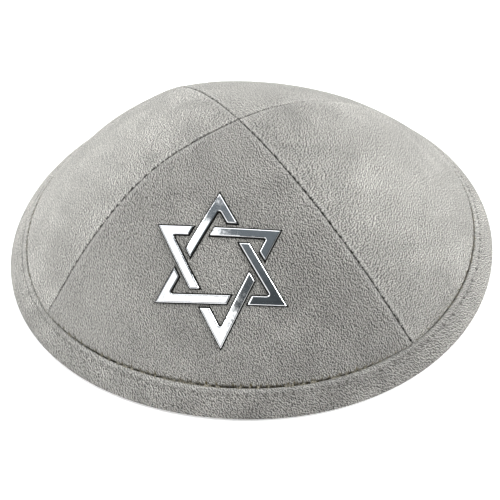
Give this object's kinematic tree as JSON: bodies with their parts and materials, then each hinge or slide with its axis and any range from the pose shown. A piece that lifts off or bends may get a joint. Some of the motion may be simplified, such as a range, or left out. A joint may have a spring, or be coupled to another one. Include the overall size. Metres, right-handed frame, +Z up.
{
  "type": "skullcap",
  "caption": "Shallow suede skullcap of sewn gores with a folded rim band and a polished metal star emblem on its front.",
  "frame": {"origin": "on the surface that the cap rests on, under the middle of its rim", "axes": "+Z up through the crown, -Y towards the front gore with the emblem, +X towards the wearer's left"},
  "size_m": [0.1848, 0.1733, 0.054],
  "materials": {
    "suede": "napped suede, matte",
    "band_suede": "napped suede, matte, darker",
    "emblem_metal": "mirror polished"
  },
  "bodies": {
    "root": {"front_panel": "suede", "right_panel": "suede", "back_panel": "suede", "left_panel": "suede", "rim_band": "band_suede", "star_plate_top": "emblem_metal", "star_plate_upper_left": "emblem_metal", "star_plate_lower_left": "emblem_metal", "star_plate_bottom": "emblem_metal", "star_plate_lower_right": "emblem_metal", "star_plate_upper_right": "emblem_metal"}
  },
  "joints": []
}
